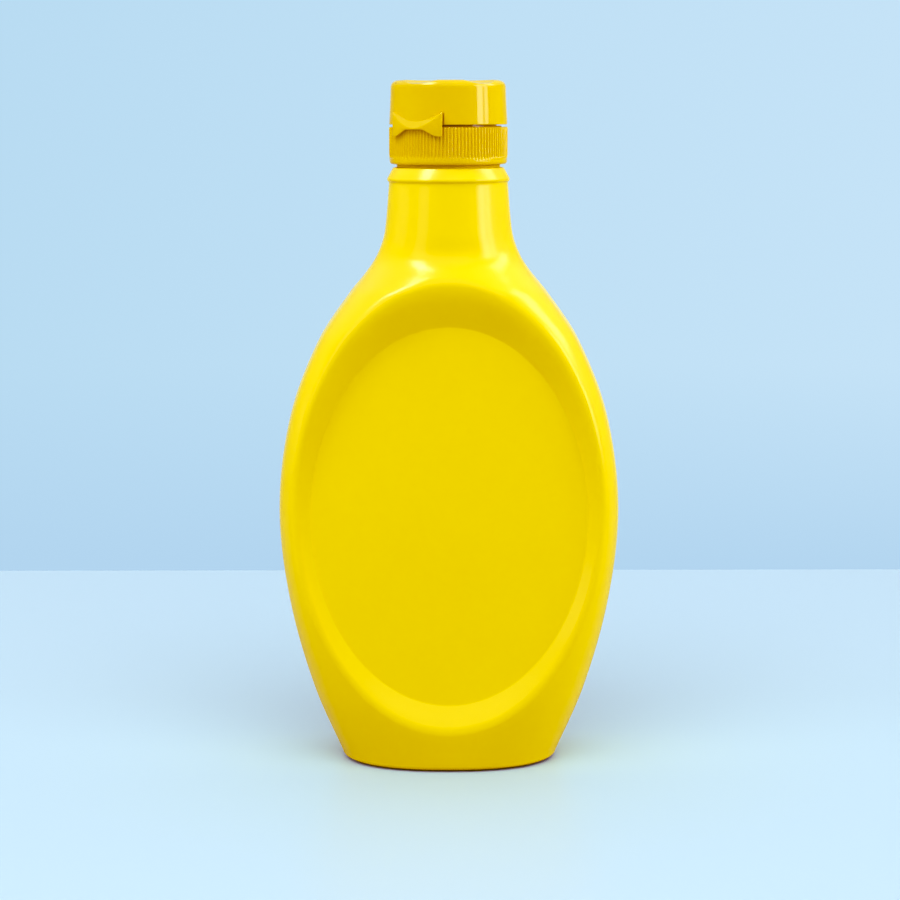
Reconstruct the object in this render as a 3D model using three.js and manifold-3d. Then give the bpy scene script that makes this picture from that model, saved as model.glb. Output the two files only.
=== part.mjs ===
// A squeeze bottle for sauce: a flat-sided plastic bottle with an oval label panel pressed into its
// front and back, closed by a ribbed screw cap with a flip lid and a thumb tab.
// Millimetres, +Z up, the front faces -Y. The origin is the centre of the base.

import * as THREE from "three";
import { ParametricGeometry } from "three/addons/geometries/ParametricGeometry.js";
import { mergeGeometries, mergeVertices } from "three/addons/utils/BufferGeometryUtils.js";
import Module from "manifold-3d";

const { clamp, degToRad, lerp, smoothstep } = THREE.MathUtils;
const QUARTER_TURN = Math.PI / 2;

// Driving dimensions of the bottle.
// Each section has its half width, its half depth and its fullness: a fullness of 2 is an ellipse,
// and a higher one comes nearer to a rectangle.
const SECTIONS = [
  { height: 0, width: 27.4, depth: 21.8, fullness: 2.3 },
  { height: 19, width: 35.3, depth: 25.2, fullness: 2.7 },
  { height: 43, width: 41.5, depth: 26.6, fullness: 3.4 },
  { height: 67, width: 43.9, depth: 26.1, fullness: 3.7 },
  { height: 91, width: 40.7, depth: 25.8, fullness: 4.0 },
  { height: 110, width: 33.4, depth: 24.5, fullness: 3.6 },
  { height: 122, width: 25.4, depth: 22.7, fullness: 2.7 },
  { height: 126, width: 22.1, depth: 20.3, fullness: 2.3 },
  { height: 129.5, width: 19.5, depth: 17.75, fullness: 2.05 },
  { height: 132.5, width: 17.95, depth: 16.6, fullness: 2.0 },
  { height: 137, width: 16.5, depth: 16.35, fullness: 2.0 },
  { height: 149.5, width: 15.3, depth: 15.3, fullness: 2.0 },
];
const PANEL = { halfWidth: 35.4, halfHeight: 48.2, middle: 65.8, depth: 19.1, crown: 1.3, lean: 0.044 };
const RIM = { halfWidth: 39.3, halfHeight: 57.3, middle: 68.5, rounding: 1.5, endRounding: 0.95 };
const FACET = 0.57;
const BASE = { edge: 1.7, inset: 2.1, footWidth: 4.8, pushUp: 2.4 };
const NECK = { root: 137, radius: 15.3, stubRadius: 13.3, top: 160 };
const COLLAR = { foot: 149.5, lip: 150.2, widest: 151.3, radius: 15.75, top: 153.9, topRadius: 14.25 };

// Driving dimensions of the cap
const CLEARANCE = 0.3;
const CAP = { radius: 15.2, bottom: 154.7, top: 164.15, edge: 0.75, plainRadius: 15.1 };
const RIBS = { count: 104, depth: 0.4, bottom: 156.6, top: 163.8 };
const SEAT_RADIUS = 13.6;
const SPOUT = { radius: 12.4, rise: 1.1 };
const LID = { bottom: 164.75, top: 176, topRadius: 14.8, edge: 1.9 };
const DIPS = { count: 5, width: 11.1, depth: 1.05 };
const TAB = { reach: degToRad(28), radius: 16.2, root: 14.8, turn: degToRad(-33.5) };
const TAB_END = { bottom: 161.8, front: 168, top: 168.2 };
const TAB_MIDDLE = { bottom: 163.55, front: 163.85, top: 166.4 };
const HINGE = { reach: degToRad(20), overlap: 1 };

// Mesh fineness. The rays fan out from the label panel: some run up to the neck, some out to the
// side and some down to the base.
const NECK_RAYS = 10;
const SIDE_RAYS = 22;
const BASE_RAYS = 12;
const RAYS = NECK_RAYS + SIDE_RAYS + BASE_RAYS;
const BEVEL_RINGS = 8;
const SKIN_RINGS = 14;
const BEVEL_SHARE = BEVEL_RINGS / SKIN_RINGS;
const BEVEL_END = 1.5;
const PANEL_COLUMNS = 4;
const NECK_RINGS = 5;
const CURVE_STEPS = 4;
const CAP_SEGMENTS = 52;
const TAB_STEPS = 14;
const BALL_SEGMENTS = 20;

const wasm = await Module();
wasm.setup();

// Section of the bottle at any height, on a smooth curve through the given sections
function sectionAt(height) {
  const last = SECTIONS.length - 1;
  const index = clamp(SECTIONS.findLastIndex((section) => section.height <= height), 0, last - 1);
  const below = SECTIONS[index];
  const above = SECTIONS[index + 1];
  const rise = above.height - below.height;
  const t = (height - below.height) / rise;
  const slopeAt = (i, key) => {
    const from = SECTIONS[Math.max(i - 1, 0)];
    const to = SECTIONS[Math.min(i + 1, last)];
    return (to[key] - from[key]) / (to.height - from.height);
  };
  const smooth = (key) =>
    (2 * t ** 3 - 3 * t ** 2 + 1) * below[key] +
    (t ** 3 - 2 * t ** 2 + t) * rise * slopeAt(index, key) +
    (3 * t ** 2 - 2 * t ** 3) * above[key] +
    (t ** 3 - t ** 2) * rise * slopeAt(index + 1, key);
  return { width: smooth("width"), depth: smooth("depth"), fullness: smooth("fullness") };
}

// Distance from the axis to the skin, with the angle counted from the front towards +X
function skinRadius(angle, height) {
  const { width, depth, fullness } = sectionAt(height);
  const across = Math.abs(Math.sin(angle) / width) ** fullness;
  const forward = Math.abs(Math.cos(angle) / depth) ** fullness;
  return (across + forward) ** (-1 / fullness);
}

function aroundAxis(radius, angle, height, target) {
  return target.set(radius * Math.sin(angle), -radius * Math.cos(angle), height);
}

// How far in front of the axis the skin is, before the label panel is pressed in
function skinDepth(x, height) {
  const { width, depth, fullness } = sectionAt(height);
  return depth * Math.max(0, 1 - (x / width) ** fullness) ** (1 / fullness);
}

// The panel is crowned a little from side to side and leans back a little towards its top
function panelDepth(x, height) {
  const crown = PANEL.crown * (x / PANEL.halfWidth) ** 2;
  return PANEL.depth - crown - PANEL.lean * (height - PANEL.middle);
}

// Point on an oval, with the turn counted from its top
function ovalPoint(oval, turn) {
  return new THREE.Vector2(
    oval.halfWidth * Math.sin(turn),
    oval.middle + oval.halfHeight * Math.cos(turn),
  );
}

// The smaller of two values, with the change from one to the other rounded
function roundedMin(a, b, rounding) {
  const overlap = Math.max(0, rounding - Math.abs(a - b));
  return Math.min(a, b) - overlap ** 2 / (4 * rounding);
}

// Where a ray from the label panel ends: at the neck, on the side or at the base edge
function rayEnd(ray) {
  if (ray < NECK_RAYS) {
    return { angle: QUARTER_TURN * (ray / NECK_RAYS), height: NECK.root };
  }
  if (ray < NECK_RAYS + SIDE_RAYS) {
    const down = (ray - NECK_RAYS) / SIDE_RAYS;
    return { angle: QUARTER_TURN, height: lerp(NECK.root, BASE.edge, down) };
  }
  return { angle: QUARTER_TURN * ((RAYS - ray) / BASE_RAYS), height: BASE.edge };
}

function panelPoint(u, v, target) {
  const edge = ovalPoint(PANEL, Math.PI * v);
  const x = edge.x * (1 - u);
  return target.set(x, -panelDepth(x, edge.y), edge.y);
}

// Share of the bevel's rise from the panel's edge to the rim: straight at the bottom, and at the top
// a flat facet that then rolls over to the rim
function bevelRise(reach, turn) {
  const roll = 1 - Math.max(0, 1 - reach) ** 2 / (1 - FACET ** 2);
  const rolled = reach < FACET ? (2 * reach) / (1 + FACET) : roll;
  return lerp(reach, rolled, (1 + Math.cos(turn)) / 2);
}

// Skin round the panel: first the bevel from the panel's edge over the rounded rim, then the body
function skinPoint(u, v, target) {
  const edge = ovalPoint(PANEL, Math.PI * u);
  const rim = ovalPoint(RIM, Math.PI * u);
  const reach = BEVEL_END * Math.min(v / BEVEL_SHARE, 1);
  const place = edge.clone().lerp(rim, reach);
  const body = skinDepth(place.x, place.y);
  if (v <= BEVEL_SHARE) {
    const foot = panelDepth(edge.x, edge.y);
    const bevel = lerp(foot, skinDepth(rim.x, rim.y), bevelRise(reach, Math.PI * u));
    const rounding = lerp(RIM.rounding, RIM.endRounding, Math.abs(Math.cos(Math.PI * u)));
    return target.set(place.x, -roundedMin(body, bevel, rounding), place.y);
  }
  const outward = (v - BEVEL_SHARE) / (1 - BEVEL_SHARE);
  const end = rayEnd(RAYS * u);
  const angle = lerp(Math.atan2(place.x, body), end.angle, outward);
  const height = lerp(place.y, end.height, outward);
  return aroundAxis(skinRadius(angle, height), angle, height, target);
}

function neckPoint(u, v, target) {
  const angle = QUARTER_TURN * (1 - u);
  const height = lerp(COLLAR.foot, NECK.root, v);
  return aroundAxis(skinRadius(angle, height), angle, height, target);
}

// Underside: a rounded edge, the flat foot that the bottle stands on, and the push-up in the middle
function basePatch() {
  const foot = BASE.inset + BASE.footWidth;
  const outline = new THREE.Path();
  outline.moveTo(0, BASE.edge);
  outline.quadraticCurveTo(BASE.inset / 2, 0, BASE.inset, 0);
  outline.lineTo(foot, 0);
  outline.quadraticCurveTo(foot + BASE.pushUp, BASE.pushUp, foot + 3 * BASE.pushUp, BASE.pushUp);
  const profile = [...outline.getPoints(CURVE_STEPS), new THREE.Vector2(Infinity, BASE.pushUp)];
  const steps = profile.length - 1;
  const basePoint = (u, v, target) => {
    const { x: inset, y: height } = profile[clamp(Math.round(v * steps), 0, steps)];
    const angle = QUARTER_TURN * (1 - u);
    const radius = Math.max(0, skinRadius(angle, BASE.edge) - inset);
    return aroundAxis(radius, angle, height, target);
  };
  return new ParametricGeometry(basePoint, BASE_RAYS, steps);
}

// Revolve a profile of radii and heights about the axis
function revolved(outline, segments, angle = 2 * Math.PI) {
  const points = outline.getPoints(CURVE_STEPS);
  return new THREE.LatheGeometry(points, segments, 0, angle).rotateX(QUARTER_TURN);
}

// Collar and the plain stub of the neck that the cap is screwed on
function neckFinishPatch() {
  const outline = new THREE.Path();
  const { lip, widest, radius, top, topRadius } = COLLAR;
  outline.moveTo(NECK.radius, COLLAR.foot);
  outline.lineTo(NECK.radius, lip);
  outline.quadraticCurveTo(radius, lip, radius, widest);
  outline.lineTo(topRadius, top);
  outline.lineTo(NECK.stubRadius, top);
  outline.lineTo(NECK.stubRadius, NECK.top);
  outline.lineTo(0, NECK.top);
  return revolved(outline, NECK_RAYS, QUARTER_TURN);
}

function mirrored(geometry, alongX, alongY) {
  const copy = geometry.clone().applyMatrix4(new THREE.Matrix4().makeScale(alongX, alongY, 1));
  if (alongX * alongY < 0) {
    copy.setIndex([...copy.index.array].reverse());
  }
  return copy;
}

// Keep only the positions, share the corners and leave out triangles that have shrunk to a line
function sealed(geometry) {
  const bare = geometry.clone();
  bare.deleteAttribute("normal");
  bare.deleteAttribute("uv");
  const shared = mergeVertices(bare, 1e-4);
  const corners = shared.index.array;
  const kept = [];
  for (let i = 0; i < corners.length; i += 3) {
    const [a, b, c] = corners.slice(i, i + 3);
    if (a !== b && b !== c && c !== a) {
      kept.push(a, b, c);
    }
  }
  shared.setIndex(kept);
  return shared;
}

function solidOf(geometry) {
  const closed = sealed(geometry);
  return new wasm.Manifold(
    new wasm.Mesh({
      numProp: 3,
      vertProperties: closed.attributes.position.array,
      triVerts: new Uint32Array(closed.index.array),
    }),
  );
}

function geometryOf(solid) {
  const { vertProperties, triVerts } = solid.getMesh();
  const geometry = new THREE.BufferGeometry();
  geometry.setAttribute("position", new THREE.BufferAttribute(vertProperties, 3));
  geometry.setIndex(new THREE.BufferAttribute(triVerts, 1));
  return geometry;
}

// Solid cylinder on the axis between two heights
function plug(radius, bottom, top) {
  const cylinder = new THREE.CylinderGeometry(radius, radius, top - bottom, CAP_SEGMENTS);
  return solidOf(cylinder.rotateX(QUARTER_TURN).translate(0, 0, (bottom + top) / 2));
}

// Bar bent round the axis: placeOf gives the radius, angle and height of each corner, whose place
// in the straight bar runs from -1 to 1 along, up and outwards
function bentBar(placeOf) {
  const bar = new THREE.BoxGeometry(2, 2, 2, TAB_STEPS, 1, 1);
  const corners = bar.attributes.position;
  const point = new THREE.Vector3();
  for (let i = 0; i < corners.count; i += 1) {
    const { radius, angle, height } = placeOf(corners.getX(i), corners.getY(i), corners.getZ(i));
    aroundAxis(radius, angle, height, point);
    corners.setXYZ(i, point.x, point.y, point.z);
  }
  return solidOf(bar);
}

function named(name, geometry, colour, roughness) {
  const material = new THREE.MeshStandardMaterial({ color: colour, roughness, metalness: 0 });
  const mesh = new THREE.Mesh(geometry, material);
  mesh.name = name;
  return mesh;
}

// The bottle is alike on both sides and front and back, so one quarter is shaped and mirrored
function bottle() {
  const patches = [
    new ParametricGeometry(panelPoint, PANEL_COLUMNS, RAYS),
    new ParametricGeometry(skinPoint, RAYS, SKIN_RINGS),
    new ParametricGeometry(neckPoint, NECK_RAYS, NECK_RINGS),
    neckFinishPatch(),
    basePatch(),
  ];
  const quarter = mergeGeometries(patches.map(sealed));
  const quarters = [1, -1].flatMap((x) => [1, -1].map((y) => mirrored(quarter, x, y)));
  return sealed(mergeGeometries(quarters));
}

// Ribbed screw cap, with a bore for the neck, a seat for the lid and a plain boss for the spout
function screwCap() {
  const valley = CAP.radius - RIBS.depth;
  const seat = LID.bottom - CLEARANCE;
  const outline = new THREE.Path();
  outline.moveTo(0, CAP.bottom);
  outline.lineTo(CAP.plainRadius - CAP.edge, CAP.bottom);
  outline.quadraticCurveTo(CAP.plainRadius, CAP.bottom, CAP.plainRadius, CAP.bottom + CAP.edge);
  outline.lineTo(CAP.plainRadius, RIBS.bottom);
  outline.lineTo(valley, RIBS.bottom);
  outline.lineTo(valley, CAP.top);
  outline.lineTo(SEAT_RADIUS, CAP.top);
  outline.lineTo(SEAT_RADIUS, seat);
  outline.lineTo(SPOUT.radius, seat);
  outline.lineTo(SPOUT.radius, seat + SPOUT.rise);
  outline.lineTo(0, seat + SPOUT.rise);
  const core = solidOf(revolved(outline, CAP_SEGMENTS));

  const corners = [];
  for (let i = 0; i < 2 * RIBS.count; i += 1) {
    const radius = i % 2 === 0 ? CAP.radius : valley;
    const angle = (Math.PI * i) / RIBS.count;
    corners.push(new THREE.Vector2(radius * Math.cos(angle), radius * Math.sin(angle)));
  }
  const grip = new THREE.ExtrudeGeometry(new THREE.Shape(corners), {
    depth: RIBS.top - RIBS.bottom,
    bevelEnabled: false,
  });
  const ribbed = core.add(solidOf(grip.translate(0, 0, RIBS.bottom)));
  const bore = plug(NECK.stubRadius + CLEARANCE, CAP.bottom - CLEARANCE, NECK.top + CLEARANCE);
  return geometryOf(ribbed.subtract(bore));
}

// Thumb tab: a bow tie bent round the lid, high at its ends and narrow in the middle, where its top
// is scooped out for the thumb. It hangs from the lid over the ribs of the cap.
function thumbTab() {
  const bow = bentBar((along, up, out) => {
    const reach = Math.abs(along);
    const rises = { bottom: smoothstep(reach, 0.25, 0.85), front: reach ** 1.75, top: reach ** 2.4 };
    const upper = out > 0 ? "front" : "top";
    const edge = up > 0 ? upper : "bottom";
    const height = lerp(TAB_MIDDLE[edge], TAB_END[edge], rises[edge]);
    return { radius: out > 0 ? TAB.radius : TAB.root, angle: TAB.reach * along, height };
  });
  return bow.subtract(plug(CAP.radius + CLEARANCE, RIBS.bottom, LID.bottom));
}

// Web between lid and cap at the back, where the real cap bends as the lid flips open
function hingeWeb() {
  return bentBar((along, up, out) => ({
    radius: out > 0 ? CAP.radius - CLEARANCE : SEAT_RADIUS + CLEARANCE,
    angle: Math.PI + HINGE.reach * along,
    height: up > 0 ? LID.bottom + HINGE.overlap : CAP.top + CLEARANCE,
  }));
}

// Flip lid, hollowed below for the spout, with shallow dips pressed into the rim of its top
function flipLid() {
  const outline = new THREE.Path();
  outline.moveTo(0, LID.bottom);
  outline.lineTo(CAP.radius - CLEARANCE, LID.bottom);
  outline.lineTo(CAP.radius, LID.bottom + CLEARANCE);
  outline.lineTo(LID.topRadius, LID.top - LID.edge);
  outline.quadraticCurveTo(LID.topRadius, LID.top, LID.topRadius - LID.edge, LID.top);
  outline.lineTo(0, LID.top);
  const hollow = plug(SPOUT.radius + CLEARANCE, LID.bottom - CLEARANCE, LID.bottom + SPOUT.rise);
  let lid = solidOf(revolved(outline, CAP_SEGMENTS)).subtract(hollow);

  const ballRadius = (DIPS.width ** 2 / 4 + DIPS.depth ** 2) / (2 * DIPS.depth);
  const middle = new THREE.Vector3();
  for (let i = 0; i < DIPS.count; i += 1) {
    const angle = (2 * Math.PI * i) / DIPS.count;
    aroundAxis(LID.topRadius, angle, LID.top - DIPS.depth + ballRadius, middle);
    const ball = new THREE.SphereGeometry(ballRadius, BALL_SEGMENTS, BALL_SEGMENTS);
    lid = lid.subtract(solidOf(ball.rotateX(QUARTER_TURN).translate(...middle)));
  }
  return geometryOf(lid.add(thumbTab()).add(hingeWeb()));
}

const YELLOW = 0xebd102;
const CAP_YELLOW = 0xe2bf00;

const sauceBottle = new THREE.Group();
sauceBottle.add(named("bottle_body", bottle(), YELLOW, 0.35));

// The cap is screwed on with its tab turned to the left of the front
const cap = new THREE.Group();
cap.rotation.z = TAB.turn;
cap.add(named("screw_cap", screwCap(), CAP_YELLOW, 0.25));
cap.add(named("flip_lid", flipLid(), CAP_YELLOW, 0.2));
sauceBottle.add(cap);

export default sauceBottle;
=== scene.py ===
# %% [markdown]
# # A squeeze bottle for sauce
# This lesson dresses a finished CAD part for a render. The part is a plain yellow squeeze bottle with
# a ribbed screw cap and a flip lid. The CAD solids have the right size and place, so they are the
# frame, and every visible piece is modelled again over its solid with the soft edges that moulded
# plastic has. Blender counts in metres. The bottle is easier to read in millimetres, so MM turns one
# into the other.

# %% Load the frame
import math

import bmesh
import bpy
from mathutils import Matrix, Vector


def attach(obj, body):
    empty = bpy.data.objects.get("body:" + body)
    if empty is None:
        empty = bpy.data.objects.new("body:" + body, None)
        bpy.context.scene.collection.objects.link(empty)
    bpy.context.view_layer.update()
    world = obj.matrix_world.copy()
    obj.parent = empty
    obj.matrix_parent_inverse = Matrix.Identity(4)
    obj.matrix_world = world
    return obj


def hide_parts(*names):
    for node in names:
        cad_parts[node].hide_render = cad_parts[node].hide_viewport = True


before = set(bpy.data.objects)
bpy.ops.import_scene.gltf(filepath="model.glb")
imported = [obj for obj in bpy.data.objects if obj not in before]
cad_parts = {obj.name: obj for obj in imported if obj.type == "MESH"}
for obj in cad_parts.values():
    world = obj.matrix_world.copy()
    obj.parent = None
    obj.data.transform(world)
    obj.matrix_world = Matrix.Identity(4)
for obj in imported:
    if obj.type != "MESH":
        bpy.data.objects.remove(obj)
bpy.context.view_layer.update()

MM = 0.001

# %% [markdown]
# ## Selecting in code
# An operator acts on all that is selected, and loading the frame leaves the CAD nodes selected. So
# everything is deselected before a new piece is started, and in edit mode the corners are picked by
# where they are. These four helpers do what the mouse does in the window.

# %% Helpers for selecting
TOUCHING = 0.002 * MM


def only(piece):
    """Selects one object alone."""
    bpy.ops.object.select_all(action="DESELECT")
    piece.select_set(True)
    bpy.context.view_layer.objects.active = piece


def open_mesh(piece):
    """Opens one object in edit mode, with all of it selected."""
    only(piece)
    bpy.ops.object.mode_set(mode="EDIT")
    bpy.ops.mesh.select_mode(type="VERT")
    bpy.ops.mesh.select_all(action="SELECT")


def pick(piece, test):
    """In edit mode, selects the corners that pass a test and says how many they are."""
    bpy.ops.mesh.select_all(action="DESELECT")
    mesh = bmesh.from_edit_mesh(piece.data)
    chosen = [corner for corner in mesh.verts if test(corner)]
    for corner in chosen:
        corner.select_set(True)
    mesh.select_flush(True)
    bmesh.update_edit_mesh(piece.data)
    return len(chosen)


def close_mesh():
    """Merges what touches, turns all faces outwards and leaves edit mode."""
    bpy.ops.mesh.select_all(action="SELECT")
    bpy.ops.mesh.remove_doubles(threshold=TOUCHING)
    bpy.ops.mesh.normals_make_consistent(inside=False)
    bpy.ops.object.mode_set(mode="OBJECT")


bpy.ops.object.select_all(action="DESELECT")
print("CAD nodes:", sorted(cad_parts))

# %% [markdown]
# ## The form of the bottle
# The bottle is blown from soft plastic into a mould. Seen from above, it is round at the neck and goes
# over into a full, flat-sided oval. Each section is a superellipse: a fullness of 2 is an ellipse, and
# a higher one comes nearer to a rectangle. Sculpting such a body by eye would drift from the CAD
# solid, and the solid's own triangles are too coarse for a highlight to glide over. So the same
# sections are used once more, on a grid that is three times as fine.

# %% Sections of the bottle
SECTIONS = (
    # height, half width, half depth, fullness
    (0, 27.4, 21.8, 2.3),
    (19, 35.3, 25.2, 2.7),
    (43, 41.5, 26.6, 3.4),
    (67, 43.9, 26.1, 3.7),
    (91, 40.7, 25.8, 4.0),
    (110, 33.4, 24.5, 3.6),
    (122, 25.4, 22.7, 2.7),
    (126, 22.1, 20.3, 2.3),
    (129.5, 19.5, 17.75, 2.05),
    (132.5, 17.95, 16.6, 2.0),
    (137, 16.5, 16.35, 2.0),
    (149.5, 15.3, 15.3, 2.0),
)


def section_at(height):
    """Half width, half depth and fullness at a height, on a smooth curve through the sections."""
    last = len(SECTIONS) - 1
    index = min(max(sum(section[0] <= height for section in SECTIONS) - 1, 0), last - 1)
    below, above = SECTIONS[index], SECTIONS[index + 1]
    rise = above[0] - below[0]
    share = (height - below[0]) / rise

    def slope(i, part):
        start, end = SECTIONS[max(i - 1, 0)], SECTIONS[min(i + 1, last)]
        return (end[part] - start[part]) / (end[0] - start[0])

    def smooth(part):
        start = (2 * share**3 - 3 * share**2 + 1) * below[part]
        start += (share**3 - 2 * share**2 + share) * rise * slope(index, part)
        end = (3 * share**2 - 2 * share**3) * above[part]
        return start + end + (share**3 - share**2) * rise * slope(index + 1, part)

    return smooth(1), smooth(2), smooth(3)


def skin_radius(angle, height):
    """Distance from the axis to the skin, with the angle counted from the front."""
    width, depth, fullness = section_at(height)
    across = abs(math.sin(angle) / width) ** fullness
    return (across + abs(math.cos(angle) / depth) ** fullness) ** (-1 / fullness)


def skin_depth(x, height):
    """How far in front of the axis the skin is, before the label panel is pressed in."""
    width, depth, fullness = section_at(height)
    return depth * max(0, 1 - (x / width) ** fullness) ** (1 / fullness)


print("Widest section in mm:", [round(2 * size, 1) for size in section_at(67)[:2]])

# %% [markdown]
# ## The label panel
# An oval panel for the label is pressed into the front and the back. It is slightly crowned and leans
# back towards the neck. It has a crisp inner edge, then a bevel, then a rounded rim where the bevel
# meets the body. At the top the bevel is a facet that rolls over into the shoulder. The grid follows
# the ovals: its rays start on the panel's middle line, run out over the bevel and end at the neck, on
# the side seam or at the base. A knife cut would leave uneven faces along the oval, and they would show
# in the gloss.

# %% Ovals and rays
PANEL = {"half_width": 35.4, "half_height": 48.2, "middle": 65.8}
PANEL_DEPTH, PANEL_CROWN, PANEL_LEAN = 19.1, 1.3, 0.044
RIM = {"half_width": 39.3, "half_height": 57.3, "middle": 68.5}
RIM_ROUNDING, END_ROUNDING = 1.5, 0.95
FACET = 0.57
NECK_ROOT = 137
BASE_EDGE = 1.7
NECK_RAYS, SIDE_RAYS, BASE_RAYS = 30, 66, 36
RAYS = NECK_RAYS + SIDE_RAYS + BASE_RAYS
PANEL_RINGS, BEVEL_RINGS, BODY_RINGS = 10, 48, 20
RINGS = PANEL_RINGS + BEVEL_RINGS + BODY_RINGS
BEVEL_REACH = 1.5
QUARTER_TURN = math.pi / 2


def blend(start, end, share):
    """A value between two others."""
    return start + (end - start) * share


def panel_depth(x, height):
    """How far in front of the axis the panel is: crowned across, and leaning back upwards."""
    crown = PANEL_CROWN * (x / PANEL["half_width"]) ** 2
    return PANEL_DEPTH - crown - PANEL_LEAN * (height - PANEL["middle"])


def on_oval(oval, turn):
    """Place across and up on an oval, with the turn counted from its top."""
    across = oval["half_width"] * math.sin(turn)
    return across, oval["middle"] + oval["half_height"] * math.cos(turn)


def ray_end(ray):
    """Angle from the front and height where a ray from the panel ends."""
    if ray < NECK_RAYS:
        return QUARTER_TURN * ray / NECK_RAYS, NECK_ROOT
    if ray < NECK_RAYS + SIDE_RAYS:
        return QUARTER_TURN, blend(NECK_ROOT, BASE_EDGE, (ray - NECK_RAYS) / SIDE_RAYS)
    return QUARTER_TURN * (RAYS - ray) / BASE_RAYS, BASE_EDGE


def rounded_min(first, second, rounding):
    """The smaller of two depths, with the change from one to the other rounded."""
    overlap = max(0, rounding - abs(first - second))
    return min(first, second) - overlap**2 / (4 * rounding)


print("Grid of one quarter:", RAYS, "rays by", RINGS, "rings")


# %% Where each corner of the grid lies
def panel_place(turn, share):
    """On the panel, from its middle line to its crisp edge."""
    x, z = on_oval(PANEL, turn)
    x *= math.sin(QUARTER_TURN * share)
    return x, -panel_depth(x, z), z


def bevel_rise(turn, reach):
    """Share of the bevel's rise: straight at the bottom, a facet that rolls over at the top."""
    rolled = 1 - max(0, 1 - reach) ** 2 / (1 - FACET**2)
    if reach < FACET:
        rolled = 2 * reach / (1 + FACET)
    return blend(reach, rolled, (1 + math.cos(turn)) / 2)


def bevel_place(turn, share):
    """On the bevel and over the rounded rim, and how far in front the body is there."""
    edge, rim = on_oval(PANEL, turn), on_oval(RIM, turn)
    reach = BEVEL_REACH * share
    x, z = (blend(inner, outer, reach) for inner, outer in zip(edge, rim))
    body = skin_depth(x, z)
    bevel = blend(panel_depth(*edge), skin_depth(*rim), bevel_rise(turn, reach))
    rounding = blend(RIM_ROUNDING, END_ROUNDING, abs(math.cos(turn)))
    return (x, -rounded_min(body, bevel, rounding), z), body


def body_place(ray, turn, share):
    """On the body, from the rim of the panel to the end of the ray."""
    (x, _, z), body = bevel_place(turn, 1)
    end_angle, end_height = ray_end(ray)
    angle = blend(math.atan2(x, body), end_angle, share)
    height = blend(z, end_height, share)
    radius = skin_radius(angle, height)
    return radius * math.sin(angle), -radius * math.cos(angle), height


def quarter_place(ray, ring):
    """Place of a grid corner on one quarter of the bottle."""
    turn = math.pi * ray / RAYS
    if ring <= PANEL_RINGS:
        return panel_place(turn, ring / PANEL_RINGS)
    if ring <= PANEL_RINGS + BEVEL_RINGS:
        return bevel_place(turn, (ring - PANEL_RINGS) / BEVEL_RINGS)[0]
    return body_place(ray, turn, (ring - PANEL_RINGS - BEVEL_RINGS) / BODY_RINGS)


print("Panel centre in mm:", [round(x, 2) for x in quarter_place(RAYS // 2, 0)])

# %% [markdown]
# ## One quarter, mirrored
# The bottle is alike left and right and front and back. One grid primitive becomes a quarter of the
# skin, and a Mirror modifier makes the other three. Each corner of the flat grid is moved to its place
# on the skin, which is what a Lattice or sculpting would do less exactly.

# %% Lay the grid on the skin and mirror it
bpy.ops.mesh.primitive_grid_add(x_subdivisions=RAYS, y_subdivisions=RINGS, size=1)
bottle = bpy.context.object
bottle.name = "bottle"
for corner in bottle.data.vertices:
    place = quarter_place(round((corner.co.x + 0.5) * RAYS), round((corner.co.y + 0.5) * RINGS))
    corner.co = Vector(place) * MM
only(bottle)
halves = bottle.modifiers.new("halves", "MIRROR")
halves.use_axis = (True, True, False)
halves.merge_threshold = TOUCHING
bpy.ops.object.modifier_apply(modifier=halves.name)
print("Skin of the bottle:", len(bottle.data.polygons), "faces")

# %% [markdown]
# ## Base and neck
# The skin is open at the base and at the neck root. From there the bottle is built as by hand: the open
# edge is extruded and resized ring by ring. The base has a rounded edge that stops just above the
# table, a flat foot to stand on and a push-up in the middle, which keeps the bottle from rocking. The
# thin gap under the edge draws the dark line that grounds the bottle. The neck narrows to the collar, a
# ring with a sloping top that the cap ends above, and to the plain stub inside the cap.


# %% Rings and arcs
def extend(height, next_height, across, along):
    """Extrudes the selected ring to the next height and resizes it there."""
    rise = (0, 0, (next_height - height) * MM)
    bpy.ops.mesh.extrude_region_move(TRANSFORM_OT_translate={"value": rise})
    centre = (0, 0, next_height * MM)
    bpy.ops.transform.resize(value=(across, along, 1), center_override=centre)


def arc(centre, radius, start, end, steps):
    """Points of an arc in an outline, with angles in degrees from straight out to straight up."""
    turns = [math.radians(blend(start, end, i / steps)) for i in range(steps + 1)]
    across, up = centre
    return [(across + radius * math.cos(turn), up + radius * math.sin(turn)) for turn in turns]


base_width, base_depth, _ = section_at(BASE_EDGE)
print("Base edge in mm:", round(2 * base_width, 1), "by", round(2 * base_depth, 1))

# %% Base
NEAR = 0.01 * MM
BASE_STEPS = 6
BASE_ROUNDING = 2.1
FOOT_RISE, FOOT_STEP = 0.42, 0.2
FOOT_START, FOOT_END = 3.5, 6.9
PUSH_UP, PUSH_UP_WIDTH = 2.4, 7.2

base_outline = []
for step in range(1, BASE_STEPS + 1):
    turn = QUARTER_TURN * step / BASE_STEPS
    edge = blend(BASE_EDGE, FOOT_RISE, math.sin(turn))
    base_outline.append((BASE_ROUNDING * (1 - math.cos(turn)), edge))
base_outline += [(FOOT_START - FOOT_STEP, FOOT_RISE), (FOOT_START, 0), (FOOT_END, 0)]
for step in range(1, BASE_STEPS + 1):
    share = step / BASE_STEPS
    rise = PUSH_UP * (3 * share**2 - 2 * share**3)
    base_outline.append((FOOT_END + PUSH_UP_WIDTH * share, rise))

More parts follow.
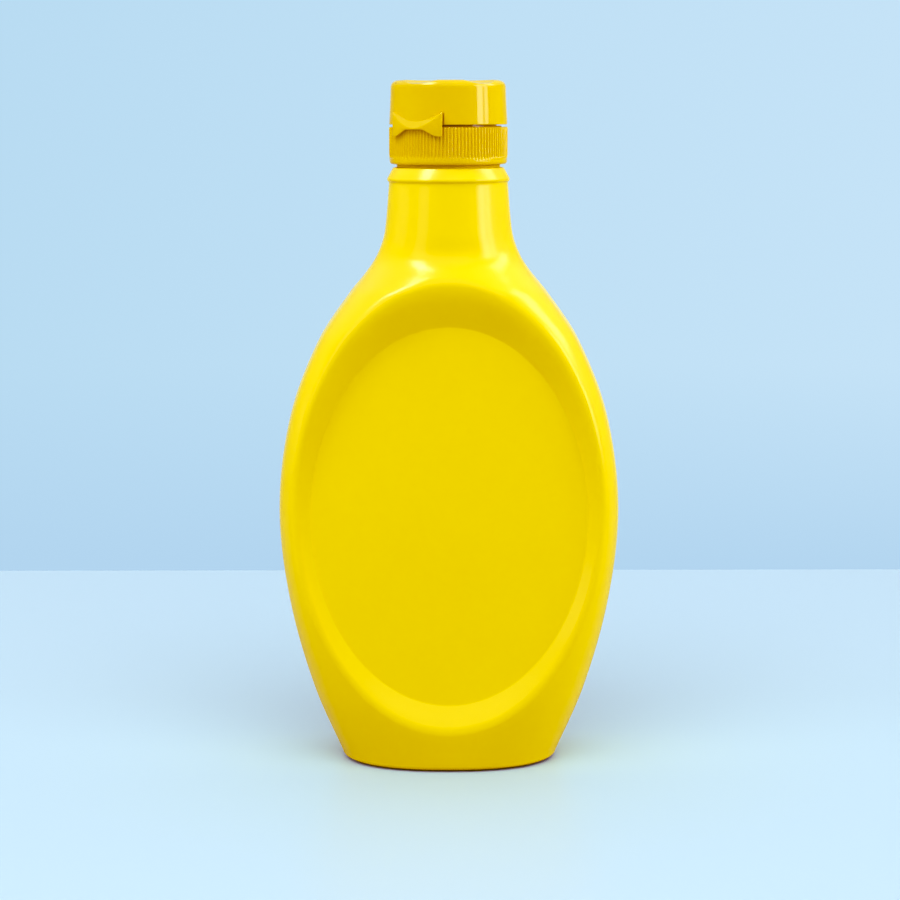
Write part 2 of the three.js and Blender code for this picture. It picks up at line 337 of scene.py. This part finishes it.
open_mesh(bottle)
count = pick(bottle, lambda corner: corner.is_boundary and abs(corner.co.z - BASE_EDGE * MM) < NEAR)
inset, height = 0, BASE_EDGE
for next_inset, next_height in base_outline:
    across = (base_width - next_inset) / (base_width - inset)
    along = (base_depth - next_inset) / (base_depth - inset)
    extend(height, next_height, across, along)
    inset, height = next_inset, next_height
bpy.ops.mesh.edge_face_add()
print("Base:", count, "columns,", len(base_outline), "rings")

# %% Neck, collar and stub
NECK_STEPS = 12
NECK_TOP = 149.5
COLLAR_ROOT = (15.31, 149.95)
LIP_MIDDLE, LIP_RADIUS, LIP_START = (15.06, 150.83), 0.7, -62
TOP_MIDDLE, TOP_RADIUS = (13.9, 153.4), 0.5
COLLAR_SLOPE = 28
COLLAR_TOP, COLLAR_FILLET = 153.9, 0.2
STUB_RADIUS, STUB_TOP, STUB_CHAMFER = 13.3, 160, 0.4

collar_outline = [COLLAR_ROOT]
collar_outline += arc(LIP_MIDDLE, LIP_RADIUS, LIP_START, COLLAR_SLOPE, 8)
collar_outline += arc(TOP_MIDDLE, TOP_RADIUS, COLLAR_SLOPE, 90, 5)
collar_outline += [(STUB_RADIUS + COLLAR_FILLET, COLLAR_TOP), (STUB_RADIUS, COLLAR_TOP + COLLAR_FILLET)]
collar_outline += [(STUB_RADIUS, STUB_TOP - STUB_CHAMFER), (STUB_RADIUS - STUB_CHAMFER, STUB_TOP)]
neck_heights = [blend(NECK_ROOT, NECK_TOP, i / NECK_STEPS) for i in range(NECK_STEPS + 1)]
neck_outline = [(*section_at(height)[:2], height) for height in neck_heights]
neck_outline += [(radius, radius, height) for radius, height in collar_outline]

count = pick(bottle, lambda corner: corner.is_boundary and abs(corner.co.z - NECK_ROOT * MM) < NEAR)
for (width, depth, height), (next_width, next_depth, next_height) in zip(neck_outline, neck_outline[1:]):
    extend(height, next_height, next_width / width, next_depth / depth)
bpy.ops.mesh.edge_face_add()
close_mesh()
only(bottle)
bpy.ops.object.shade_smooth_by_angle(angle=math.radians(50))
print("Bottle:", count, "columns at the neck,", len(bottle.data.polygons), "faces in all")

# %% [markdown]
# ## The screw cap
# The cap is injection moulded, so its edges are small and crisp. It is a ring with about a hundred
# narrow ribs for the fingers, a plain band below them, and a lower seat inside that the lid sits on. A
# circle of eight columns a rib is extruded along the outline, and then each column is pushed inwards as
# deep as the groove is there. An Array of single ribs would leave seams between them.

# %% Outline of the cap's ring
CAP_RADIUS, BAND_RADIUS = 15.2, 15.1
CAP_BOTTOM, CAP_TOP = 154.7, 164.15
BAND_ROUNDING, TOP_ROUNDING = 0.7, 0.3
BORE_RADIUS, BORE_TOP = 13.6, 160.3
SEAT_RADIUS, SEAT_TOP = 13.6, 164.45
SPOUT_RADIUS, SPOUT_RISE = 12.4, 1.1

ring_outline = [(BORE_RADIUS, BORE_TOP), (BORE_RADIUS, 155), (BORE_RADIUS + 0.3, CAP_BOTTOM)]
ring_outline += arc((BAND_RADIUS - BAND_ROUNDING, CAP_BOTTOM + BAND_ROUNDING), BAND_ROUNDING, -90, 0, 6)
ring_outline += [(BAND_RADIUS, 156.25), (15.12, 156.55), (15.17, 156.85), (CAP_RADIUS, 157.3)]
ring_outline += [(CAP_RADIUS, 160.5), (CAP_RADIUS, 163.75)]
ring_outline += arc((CAP_RADIUS - TOP_ROUNDING, CAP_TOP - TOP_ROUNDING), TOP_ROUNDING, 0, 90, 3)
ring_outline += [(SEAT_RADIUS + 0.1, CAP_TOP), (SEAT_RADIUS, CAP_TOP + 0.1), (SEAT_RADIUS, SEAT_TOP)]
ring_outline += [(SPOUT_RADIUS, SEAT_TOP), (SPOUT_RADIUS, SEAT_TOP + SPOUT_RISE)]
print("Outline of the ring:", len(ring_outline), "points")

# %% Turning a piece on the axis
RIBS = 104
COLUMNS_A_RIB = 8


def turned(name, outline, columns):
    """A closed piece round the axis: a disc extruded and resized along an outline of radii, heights."""
    bpy.ops.object.select_all(action="DESELECT")
    (radius, height), *others = outline
    bpy.ops.mesh.primitive_circle_add(vertices=columns, radius=radius * MM, fill_type="NGON")
    piece = bpy.context.object
    piece.name = name
    open_mesh(piece)
    bpy.ops.transform.translate(value=(0, 0, height * MM))
    for next_radius, next_height in others:
        extend(height, next_height, next_radius / radius, next_radius / radius)
        radius, height = next_radius, next_height
    close_mesh()
    return piece


cap_ring = turned("cap_ring", ring_outline, RIBS * COLUMNS_A_RIB)
print("Screw cap without grooves:", len(cap_ring.data.polygons), "faces")

# %% Grooves between the ribs
GROOVE_SHARES = (0, 0.06, 0.4, 0.88, 1, 0.88, 0.4, 0.06)
GROOVE_DEPTH = 0.36
GROOVE_ENDS = ((156.55, 0.5), (156.85, 0.9))
GROOVE_BOTTOM, GROOVE_TOP = 157, 164.3
RIB_THICKNESS = 0.5
RING_REACH = 0.05


def column_of(corner):
    """Which of the eight columns of a rib a corner belongs to."""
    turn = math.atan2(corner.co.y, corner.co.x) / (2 * math.pi)
    return round(turn * RIBS * COLUMNS_A_RIB) % COLUMNS_A_RIB


def press_grooves(bottom, top, depth):
    """Pushes the columns between two heights inwards to make the grooves."""
    for column, share in enumerate(GROOVE_SHARES):
        if share == 0:
            continue
        pick(
            cap_ring,
            lambda corner: bottom * MM < corner.co.z < top * MM
            and corner.co.xy.length > (CAP_RADIUS - RIB_THICKNESS) * MM
            and column_of(corner) == column,
        )
        smaller = 1 - depth * share / CAP_RADIUS
        bpy.ops.transform.resize(value=(smaller, smaller, 1), center_override=(0, 0, 0))


open_mesh(cap_ring)
for height, share in GROOVE_ENDS:
    press_grooves(height - RING_REACH, height + RING_REACH, GROOVE_DEPTH * share)
press_grooves(GROOVE_BOTTOM, GROOVE_TOP, GROOVE_DEPTH)
close_mesh()
only(cap_ring)
bpy.ops.object.shade_smooth_by_angle(angle=math.radians(40))
print("Screw cap:", len(cap_ring.data.polygons), "faces")

# %% [markdown]
# ## The flip lid
# The lid is a shallow cup, turned upside down. Its wall leans in a little, its top edge is softly
# rounded, and the top is slightly hollow. Shallow dips are pressed into the top edge, so that a thumb
# finds the way to the tab, and a narrow slot runs up from the lower edge at either end of the tab. The
# wall is turned like the cap. Each dip is a part of a large ball, and a Boolean with those balls cuts
# its crisp outline, which proportional editing would wash out. Wedges cut the slots in the same way. A
# narrow Bevel then breaks the cut edges, as the mould does.

# %% Wall and top of the lid
LID_BOTTOM, LID_TOP = 164.75, 176
LID_RADIUS, LID_EDGE = 14.78, 1.9
LID_FOOT, FOOT_ROUNDING = 15.18, 0.2
LID_COLUMNS = 288
TOP_SHARES = (0.94, 0.87, 0.8, 0.72, 0.64, 0.55, 0.44, 0.3, 0.15)
TOP_HOLLOW, HOLLOW_SHARE = 0.25, 0.4
GAP = 0.3

lid_outline = [(SPOUT_RADIUS + GAP, LID_BOTTOM + SPOUT_RISE), (SPOUT_RADIUS + GAP, LID_BOTTOM)]
lid_outline += [(14.6, LID_BOTTOM)]
lid_outline += arc((LID_FOOT - FOOT_ROUNDING, LID_BOTTOM + FOOT_ROUNDING), FOOT_ROUNDING, -90, 0, 8)
lid_outline += [(15.14, 165.9), (15.02, 168.2), (14.9, 170.6), (14.82, 172.4)]
lid_outline += arc((LID_RADIUS - LID_EDGE, LID_TOP - LID_EDGE), LID_EDGE, 0, 90, 10)
for share in TOP_SHARES:
    radius = (LID_RADIUS - LID_EDGE) * share
    lid_outline.append((radius, LID_TOP - TOP_HOLLOW * min(1, (1 - share) / HOLLOW_SHARE)))
lid = turned("lid", lid_outline, LID_COLUMNS)
print("Lid:", len(lid.data.polygons), "faces")

# %% Dips in the top edge
TAB_TURN = math.radians(-33.5)
DIPS = 5
DIP_WIDTH, DIP_DEPTH = 11.1, 1.05
BALL_RADIUS = (DIP_WIDTH**2 / 4 + DIP_DEPTH**2) / (2 * DIP_DEPTH)
BALL_COLUMNS, BALL_RINGS = 128, 64


def round_axis(radius, angle, height):
    """A place round the axis, with the angle counted from the front towards the right."""
    place = (radius * math.sin(angle), -radius * math.cos(angle), height)
    return Vector(place) * MM


def carve(piece, tool):
    """Cuts one closed piece out of another and takes the cutter away."""
    only(piece)
    cut = piece.modifiers.new("cut", "BOOLEAN")
    cut.operation = "DIFFERENCE"
    cut.solver = "EXACT"
    cut.object = tool
    bpy.ops.object.modifier_apply(modifier=cut.name)
    bpy.data.objects.remove(tool)


for dip in range(DIPS):
    bpy.ops.object.select_all(action="DESELECT")
    bpy.ops.mesh.primitive_uv_sphere_add(
        segments=BALL_COLUMNS, ring_count=BALL_RINGS, radius=BALL_RADIUS * MM
    )
    ball = bpy.context.object
    turn = TAB_TURN + 2 * math.pi * dip / DIPS
    middle = round_axis(LID_RADIUS, turn, LID_TOP - DIP_DEPTH + BALL_RADIUS)
    open_mesh(ball)
    bpy.ops.transform.translate(value=middle)
    bpy.ops.object.mode_set(mode="OBJECT")
    carve(lid, ball)
print("Lid with", DIPS, "dips:", len(lid.data.polygons), "faces")

# %% Slots beside the tab
TAB_REACH = math.radians(28)
SLOT_WIDTH, SLOT_DEPTH, SLOT_HEIGHT = 0.5, 1.5, 3
SLOT_TOP_SHARE = 0.3
SLOT_RADIUS, SLOT_START = 15, LID_BOTTOM - 0.1
CUT_BEVEL = 0.14

for side in (-1, 1):
    bpy.ops.object.select_all(action="DESELECT")
    bpy.ops.mesh.primitive_cube_add(size=1)
    wedge = bpy.context.object
    open_mesh(wedge)
    bpy.ops.transform.resize(value=(SLOT_WIDTH * MM, SLOT_DEPTH * MM, SLOT_HEIGHT * MM))
    pick(wedge, lambda corner: corner.co.z > 0)
    bpy.ops.transform.resize(value=(SLOT_TOP_SHARE, 1, 1))
    bpy.ops.mesh.select_all(action="SELECT")
    bpy.ops.transform.translate(value=round_axis(SLOT_RADIUS, 0, SLOT_START + SLOT_HEIGHT / 2))
    turn = TAB_TURN + side * (TAB_REACH + SLOT_WIDTH / 2 / CAP_RADIUS)
    bpy.ops.transform.rotate(value=-turn, orient_axis="Z", center_override=(0, 0, 0))
    bpy.ops.object.mode_set(mode="OBJECT")
    carve(lid, wedge)
only(lid)
edges = lid.modifiers.new("edges", "BEVEL")
edges.width = CUT_BEVEL * MM
edges.segments = 2
edges.angle_limit = math.radians(14)
bpy.ops.object.modifier_apply(modifier=edges.name)
bpy.ops.object.shade_smooth_by_angle(angle=math.radians(40))
print("Lid with its slots:", len(lid.data.polygons), "faces")

# %% [markdown]
# ## The thumb tab
# The tab is a bow tie bent round the lid. It is high at both ends and narrow in the middle, where its
# top is scooped out, and it hangs a little way over the ribs of the cap. Its cross-section is extruded
# from a small plane, spun round the axis, and then every column is moved up or down to give the bow tie
# its outline. A Bevel modifier gives the moulded edges their thin light line.

# %% Cross-section of the tab
TAB_FRONT, TAB_BACK, TAB_ROOT = 16.2, 15.5, 14.7
TAB_STEP_UP = LID_BOTTOM + 0.05
TAB_END = {"bottom": 161.8, "front": 168.0, "top": 168.25}
TAB_MIDDLE = {"bottom": 163.55, "front": 163.85, "top": 166.4}
tab_section = (
    (TAB_BACK, TAB_MIDDLE["bottom"]),
    (TAB_FRONT, TAB_MIDDLE["bottom"]),
    (TAB_FRONT, TAB_MIDDLE["front"]),
    (TAB_ROOT, TAB_MIDDLE["top"]),
    (TAB_ROOT, TAB_STEP_UP),
    (TAB_BACK, TAB_STEP_UP),
)
tab_height = TAB_END["front"] - TAB_END["bottom"]
print("Tab in mm:", round(TAB_FRONT - TAB_ROOT, 2), "thick,", round(tab_height, 2), "tall at the ends")

# %% Spinning a strip round the axis
TAB_STEPS = 42


def spun(name, corners, reach, middle, steps):
    """A closed strip round the axis with a cross-section of radii and heights."""
    bpy.ops.object.select_all(action="DESELECT")
    bpy.ops.mesh.primitive_circle_add(vertices=len(corners), radius=MM, fill_type="NGON")
    piece = bpy.context.object
    piece.name = name
    for corner, (radius, height) in zip(piece.data.vertices, corners):
        corner.co = round_axis(radius, middle - reach, height)
    open_mesh(piece)
    bpy.ops.mesh.spin(steps=steps, angle=-2 * reach, center=(0, 0, 0), axis=(0, 0, 1))
    close_mesh()
    return piece


tab = spun("thumb_tab", tab_section, TAB_REACH, TAB_TURN, TAB_STEPS)
print("Strip for the tab:", len(tab.data.polygons), "faces")

# %% Bow tie
WAIST, FLARE = 0.25, 0.6
TAB_BEVEL = 0.22


def angle_of(corner):
    """Angle of a corner from the middle of the tab."""
    return math.atan2(corner.co.x, -corner.co.y) - TAB_TURN


def pull_columns(edge, radius, height, rises):
    """Moves the corners of one long edge of the tab up or down, column by column."""
    for step in range(TAB_STEPS + 1):
        angle = blend(-TAB_REACH, TAB_REACH, step / TAB_STEPS)
        pick(
            tab,
            lambda corner: abs(angle_of(corner) - angle) < 0.2 * TAB_REACH / TAB_STEPS
            and abs(corner.co.xy.length - radius * MM) < NEAR
            and abs(corner.co.z - height * MM) < NEAR,
        )
        rise = (TAB_END[edge] - TAB_MIDDLE[edge]) * rises(abs(angle))
        bpy.ops.transform.translate(value=(0, 0, rise * MM))


def flared(angle):
    """Share of the rise of the lower edge: level at the waist and at the ends."""
    share = min(max((angle / TAB_REACH - WAIST) / FLARE, 0), 1)
    return share**2 * (3 - 2 * share)


def winged(angle):
    """Share of the rise of the front's upper edge, which climbs to both ends."""
    return (angle / TAB_REACH) ** 1.75


def scooped(angle):
    """Share of the rise of the edge against the lid, flatter in the middle."""
    return (angle / TAB_REACH) ** 2.4


open_mesh(tab)
pull_columns("bottom", TAB_BACK, TAB_MIDDLE["bottom"], flared)
pull_columns("bottom", TAB_FRONT, TAB_MIDDLE["bottom"], flared)
pull_columns("front", TAB_FRONT, TAB_MIDDLE["front"], winged)
pull_columns("top", TAB_ROOT, TAB_MIDDLE["top"], scooped)
close_mesh()
only(tab)
edges = tab.modifiers.new("edges", "BEVEL")
edges.width = TAB_BEVEL * MM
edges.segments = 3
edges.angle_limit = math.radians(35)
bpy.ops.object.modifier_apply(modifier=edges.name)
bpy.ops.object.shade_smooth_by_angle(angle=math.radians(30))
print("Thumb tab:", len(tab.data.polygons), "faces")

# %% [markdown]
# ## The hinge
# At the back a thin web of plastic joins lid and cap and bends when the lid flips open. It can't be
# seen from the front. It is spun like the tab, with a groove along its middle where it bends.

# %% Hinge web
HINGE_REACH, HINGE_STEPS = math.radians(20), 20
HINGE_INSIDE, HINGE_OUTSIDE, HINGE_GROOVE = 14.4, 14.9, 14.75
HINGE_BEND, HINGE_TOP = 164.58, 165.75
hinge_section = (
    (HINGE_INSIDE, SEAT_TOP),
    (HINGE_OUTSIDE, SEAT_TOP),
    (HINGE_GROOVE, HINGE_BEND),
    (HINGE_OUTSIDE, HINGE_BEND + 0.12),
    (HINGE_OUTSIDE, HINGE_TOP),
    (HINGE_INSIDE, HINGE_TOP),
)
hinge = spun("hinge_web", hinge_section, HINGE_REACH, TAB_TURN + math.pi, HINGE_STEPS)
only(hinge)
bpy.ops.object.shade_smooth_by_angle(angle=math.radians(30))
print("Hinge web:", len(hinge.data.polygons), "faces")

# %% [markdown]
# ## Writing shaders as sums
# A material is a tree of nodes. A socket is wrapped in a small class, so that an expression such as
# clouds * 0.75 + specks * 0.25 adds the Math nodes by itself, and every other node comes from one
# method. That keeps a material as short as its idea. Placing each node by hand shows the tree better,
# but is hard to change.


# %% Sockets and nodes
class Value:
    """An output socket of a node, with arithmetic."""

    def __init__(self, finish, socket):
        self.finish = finish
        self.socket = socket

    def _sum(self, operation, first, second):
        inputs = {0: first, 1: second}
        return self.finish.node("ShaderNodeMath", {"operation": operation}, inputs)

    def __add__(self, other):
        return self._sum("ADD", self, other)

    def __radd__(self, other):
        return self._sum("ADD", other, self)

    def __sub__(self, other):
        return self._sum("SUBTRACT", self, other)

    def __mul__(self, other):
        return self._sum("MULTIPLY", self, other)

    def __rmul__(self, other):
        return self._sum("MULTIPLY", other, self)


class Finish:
    """A material or world with its shader, to which nodes are added."""

    def __init__(self, owner, shader="Principled BSDF"):
        owner.use_nodes = True
        self.owner = owner
        self.tree = owner.node_tree
        self.shader = self.tree.nodes[shader]

    def node(self, kind, settings=None, inputs=None, output=0):
        """Adds a node: its settings come first, then the values or links of its sockets."""
        made = self.tree.nodes.new(kind)
        for name, setting in (settings or {}).items():
            setattr(made, name, setting)
        for name, value in (inputs or {}).items():
            self.feed(made.inputs[name], value)
        return Value(self, made.outputs[output])

    def feed(self, socket, value):
        """Links a value to a socket, or sets a number or colour on it."""
        if isinstance(value, Value):
            self.tree.links.new(value.socket, socket)
        else:
            socket.default_value = value

    def mix(self, share, first, second):
        """One colour turning into another as the share goes from 0 to 1."""
        inputs = {0: share, 6: first, 7: second}
        return self.node("ShaderNodeMix", {"data_type": "RGBA"}, inputs, output=2)

    def noise(self, place, scale, detail):
        """Noise between about 0 and 1 that is fixed to the piece."""
        inputs = {"Vector": place, "Scale": scale, "Detail": detail, "Roughness": 0.55}
        return self.node("ShaderNodeTexNoise", {"noise_dimensions": "3D"}, inputs)

    def set(self, **inputs):
        """Feeds the shader's own sockets."""
        for name, value in inputs.items():
            self.feed(self.shader.inputs[name.replace("_", " ")], value)


print("Shader helpers are ready")

# %% [markdown]
# ## Satin plastic of the bottle
# The bottle is coloured right through, and the blown skin is satin: its gloss is broad and soft. Up
# close such a skin is never quite even. Broad clouds shift the yellow and the gloss a little, and a
# very fine grain from the blasted mould breaks up the highlight. The grain is a bump, since it is far
# too small to model.

# %% Plastic finishes
CLOUD_SCALE, SPECK_SCALE = 26, 420
PLASTIC_IOR = 1.5


def plastic(name, dark, light, roughness, uneven, grain_scale, grain_height):
    """Moulded plastic of an even colour with clouds in its tone and gloss and a fine grain."""
    finish = Finish(bpy.data.materials.new(name))
    place = finish.node("ShaderNodeTexCoord", output="Object")
    clouds = finish.noise(place, CLOUD_SCALE, 3)
    specks = finish.noise(place, SPECK_SCALE, 2)
    colour = finish.mix(clouds * 0.75 + specks * 0.25, (*dark, 1), (*light, 1))
    grain = finish.noise(place, grain_scale, 2)
    bump = finish.node(
        "ShaderNodeBump",
        {},
        {"Strength": 1, "Distance": grain_height * MM, "Height": grain},
    )
    finish.set(
        Base_Color=colour,
        Roughness=roughness + (specks - 0.5) * uneven + (clouds - 0.5) * uneven,
        Normal=bump,
        IOR=PLASTIC_IOR,
    )
    return finish.owner


satin_yellow = plastic(
    "bottle_plastic",
    dark=(0.82, 0.635, 0.0006),
    light=(0.88, 0.695, 0.0012),
    roughness=0.22,
    uneven=0.03,
    grain_scale=1900,
    grain_height=0.0015,
)
print("Bottle finish:", len(satin_yellow.node_tree.nodes), "nodes")

# %% [markdown]
# ## Glossy plastic of the cap
# Cap and lid are injection moulded in a polished mould. They are a touch deeper in colour than the
# bottle and mirror the lamps more sharply, so they get the same kind of material with less roughness
# and hardly any grain.

# %% Cap finish
glossy_yellow = plastic(
    "cap_plastic",
    dark=(0.72, 0.525, 0.0004),
    light=(0.78, 0.575, 0.0008),
    roughness=0.11,
    uneven=0.03,
    grain_scale=1200,
    grain_height=0.0008,
)
print("Cap finish:", len(glossy_yellow.node_tree.nodes), "nodes")

# %% [markdown]
# ## Tying the pieces to the frame
# Every piece rides on the one body of the part, takes the place of its CAD solid and gets its finish.
# The solids stay in the file for collision, but are no longer shown.

# %% Ride, replace and paint
DRESSING = (
    (bottle, "bottle_body", "bottle_plastic", satin_yellow),
    (cap_ring, "screw_cap", "cap_plastic", glossy_yellow),
    (lid, "flip_lid", "cap_plastic", glossy_yellow),
    (tab, "flip_lid", "cap_plastic", glossy_yellow),
    (hinge, "flip_lid", "cap_plastic", glossy_yellow),
)
for piece, node, slot, finish in DRESSING:
    piece.data.materials.clear()
    piece.data.materials.append(finish)
    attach(piece, "root")
    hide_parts(node)
print("Pieces:", [piece.name for piece, *_ in DRESSING])

# %% [markdown]
# ## The table
# The bottle stands on a plain pale table that ends behind it. In the photograph the blue of the table
# hardly tints the yellow. An object can be hidden from some kinds of rays, so the camera sees the table,
# while the light that bounces up to the bottle comes from a warm grey sheet just under it. A tint in
# the plastic would change its colour on all sides.

# %% Table
TABLE_BACK = 0.268
TABLE_SIZE = (6, 3, 1)


def sheet(name, height, dark, light, roughness, gloss):
    """A wide flat sheet that ends behind the bottle, with faint clouds in its colour."""
    bpy.ops.object.select_all(action="DESELECT")
    bpy.ops.mesh.primitive_plane_add(size=1)
    piece = bpy.context.object
    piece.name = name
    open_mesh(piece)
    bpy.ops.transform.resize(value=TABLE_SIZE, center_override=(0, 0, 0))
    bpy.ops.transform.translate(value=(0, TABLE_BACK - TABLE_SIZE[1] / 2, height))
    bpy.ops.object.mode_set(mode="OBJECT")
    finish = Finish(bpy.data.materials.new(name))
    clouds = finish.noise(finish.node("ShaderNodeTexCoord", output="Object"), 3, 2)
    colour = finish.mix(clouds, (*dark, 1), (*light, 1))
    finish.set(Base_Color=colour, Roughness=roughness + 0.05 * clouds, Specular_IOR_Level=gloss)
    piece.data.materials.append(finish.owner)
    return piece


table = sheet("table", 0, (0.485, 0.68, 0.77), (0.505, 0.7, 0.8), 0.32, 0.07)
table.visible_diffuse = False
table.visible_glossy = False
table.visible_shadow = False
print("Table ends", TABLE_BACK, "m behind the bottle")

# %% Sheet for the bounced light
BELOW_TABLE = -0.05 * MM
bounce = sheet("bounce_sheet", BELOW_TABLE, (0.43, 0.44, 0.26), (0.45, 0.46, 0.28), 0.8, 0.1)
bounce.visible_camera = False
print("Bounce sheet:", round(BELOW_TABLE / MM, 2), "mm from the table")

# %% [markdown]
# ## The wall and the room
# The wall behind the table is a backdrop, so it is the world's own colour, with painted shade that makes
# it a little darker on the left and at its foot. The Light Path node tells rays apart: the camera sees
# the wall, the plastic mirrors a warm room with a bright ceiling, and the even light is a cool grey. A
# picture of a studio could do this too, but its parts couldn't be set one by one.

# %% World
# Painted light and shade on the wall: lighter on the right, darker on the left and at its foot.
SHADED_WALL_LEFT, LIT_WALL_RIGHT = (0.485, 0.722, 0.895, 1), (0.558, 0.77, 0.934, 1)
SHADED_WALL_FOOT = (0.44, 0.675, 0.87, 1)
STUDIO = (0.44, 0.42, 0.5, 1)
ROOM, CEILING = (0.6, 0.54, 0.22, 1), (0.6, 0.8, 0.78, 1)
WALL_SIDE, FOOT_SPAN = 0.17, (-0.1, -0.185)
CEILING_SPAN, BACKDROP_SPAN = (0.2, 0.6), (0.9, 0.97)
studio = Finish(bpy.data.worlds.new("studio"), "Background")
bpy.context.scene.world = studio.owner


def ramp(value, start, end):
    """Goes from 0 to 1 as a value goes from start to end."""
    return studio.node("ShaderNodeMapRange", {}, {"Value": value, "From Min": start, "From Max": end})


direction = studio.node("ShaderNodeTexCoord", output="Generated")
right, back, up = (studio.node("ShaderNodeSeparateXYZ", {}, {0: direction}, axis) for axis in "XYZ")
camera_ray = studio.node("ShaderNodeLightPath", output="Is Camera Ray")
glossy_ray = studio.node("ShaderNodeLightPath", output="Is Glossy Ray")
wall = studio.mix(ramp(right, -WALL_SIDE, WALL_SIDE), SHADED_WALL_LEFT, LIT_WALL_RIGHT)
wall = studio.mix(ramp(up, *FOOT_SPAN), wall, SHADED_WALL_FOOT)
mirrored = studio.mix(ramp(up, *CEILING_SPAN), ROOM, CEILING)
mirrored = studio.mix(ramp(back, *BACKDROP_SPAN), mirrored, wall)
light = studio.mix(glossy_ray, STUDIO, mirrored)
studio.set(Color=studio.mix(camera_ray, light, wall))
print("World:", len(studio.tree.nodes), "nodes")

# %% [markdown]
# ## The lamps
# Area lamps are as large as real soft boxes, so shadows and highlights come out as wide as theirs. The
# broad fills make the soft light and are hidden from the gloss, where they would leave marks. The
# gloss mirrors the boxes: two tall strips on the right draw the split stripe on the cap and the streak
# down the neck, a weak strip on the left adds a faint streak there, and a high box on either side
# lights up the shoulder and the collar. Light linking names the pieces that a lamp lights, and keeps
# the shadows on the table as faint as they are in the photograph. Sun or point lamps would leave hard
# shadows and tiny highlights.

# %% Placing a soft box
AIM_HEIGHT = 0.14


def soft_box(name, turn, rise, distance, width, height, glow, colour):
    """An area lamp that faces the neck, placed by its angle from the front and its height angle."""
    turn, rise = math.radians(turn), math.radians(rise)
    flat = distance * math.cos(rise)
    offset = Vector((flat * math.sin(turn), -flat * math.cos(turn), distance * math.sin(rise)))
    lamp = bpy.data.lights.new(name, "AREA")
    lamp.shape = "RECTANGLE"
    lamp.size = width
    lamp.size_y = height
    lamp.energy = glow * math.pi * width * height
    lamp.color = colour
    holder = bpy.data.objects.new(name, lamp)
    holder.location = offset + Vector((0, 0, AIM_HEIGHT))
    holder.rotation_euler = (-offset).to_track_quat("-Z", "Y").to_euler()
    bpy.context.scene.collection.objects.link(holder)
    return holder


print("Soft boxes face a point", AIM_HEIGHT, "m up the axis")


# %% Pieces that a lamp lights
def lit_alone(name, pieces):
    """A collection of the only pieces that a lamp lights."""
    receivers = bpy.data.collections.new(name)
    for piece in pieces:
        receivers.objects.link(piece)
    return receivers


bottle_only = lit_alone("bottle_only", [piece for piece, *_ in DRESSING])
body_only = lit_alone("body_only", [bottle])
table_only = lit_alone("table_only", [table, bounce])

# %% Fills and boxes
WARM, COOL = (1, 0.96, 0.92), (0.98, 0.97, 1)
FILLS = (
    # name, angle from the front, height angle, distance, width, height, glow, what it lights
    ("front_fill", 0, 34, 2.8, 3.2, 2, 1.46, None),
    ("left_fill", -96, -3, 1, 0.8, 0.6, 2.4, bottle_only),
    ("right_fill", 100, 5, 1, 0.8, 0.7, 2.1, bottle_only),
    ("back_fill", 180, 20, 1.4, 1.6, 1, 1.6, bottle_only),
    ("table_front", 0, 48, 2.4, 5, 2, 2.1, table_only),
    ("table_back", 180, 62, 2.4, 4, 2, 0.8, table_only),
)
BOXES = (
    ("right_strip", 65, 14, 0.9, 0.2, 0.56, 4.6, bottle_only),
    ("right_edge", 79.5, 14, 0.9, 0.135, 0.56, 3.4, bottle_only),
    ("right_top", 101, 38, 0.9, 0.3, 0.56, 3.9, bottle_only),
    ("left_top", -55, 55, 0.9, 0.24, 0.45, 11.5, bottle_only),
    ("left_strip", -47, 14, 0.9, 0.4, 0.56, 0.8, body_only),
)
for *lamp, lit in FILLS:
    fill = soft_box(*lamp, COOL)
    fill.visible_glossy = False
    fill.light_linking.receiver_collection = lit
for *lamp, lit in BOXES:
    box = soft_box(*lamp, WARM)
    box.light_linking.receiver_collection = lit
print("Lamps:", sorted(lamp.name for lamp in bpy.data.lights))

# %% [markdown]
# ## The camera
# The photograph was taken from just under the height of the lid's top, two thirds of a metre away, with
# a long lens that looks slightly down. Its darker yellows lean towards orange and hold no blue at all.
# The view's curve does the same: it lowers green in the middle tones and cuts off the last trace of
# blue. A material can't, because it doesn't know how brightly it is lit.

# %% Camera
LENS, SENSOR = 103.2, 36
EYE = (0.00044, -0.666, 0.1703)
LOOK_DOWN, ROLL = math.radians(7.67), math.radians(0.09)
camera_data = bpy.data.cameras.new("camera")
camera_data.lens = LENS
camera_data.sensor_width = SENSOR
camera = bpy.data.objects.new("camera", camera_data)
camera.location = EYE
camera.rotation_euler = (math.pi / 2 - LOOK_DOWN, ROLL, 0)
bpy.context.scene.collection.objects.link(camera)
bpy.context.scene.camera = camera
print("Camera at", EYE, "with a lens of", LENS, "mm")

# %% Colours of the view
GREEN_CURVE = ((0.18, 0.11), (0.5, 0.44), (0.66, 0.64), (0.75, 0.745))
BLUE_BLACK = 0.03
view = bpy.context.scene.view_settings
view.view_transform = "Standard"
view.use_curve_mapping = True
view.curve_mapping.black_level = (0, 0, BLUE_BLACK)
for place in GREEN_CURVE:
    view.curve_mapping.curves[1].points.new(*place)
view.curve_mapping.update()
print("View:", view.view_transform, "with a curve of", len(GREEN_CURVE), "points for green")
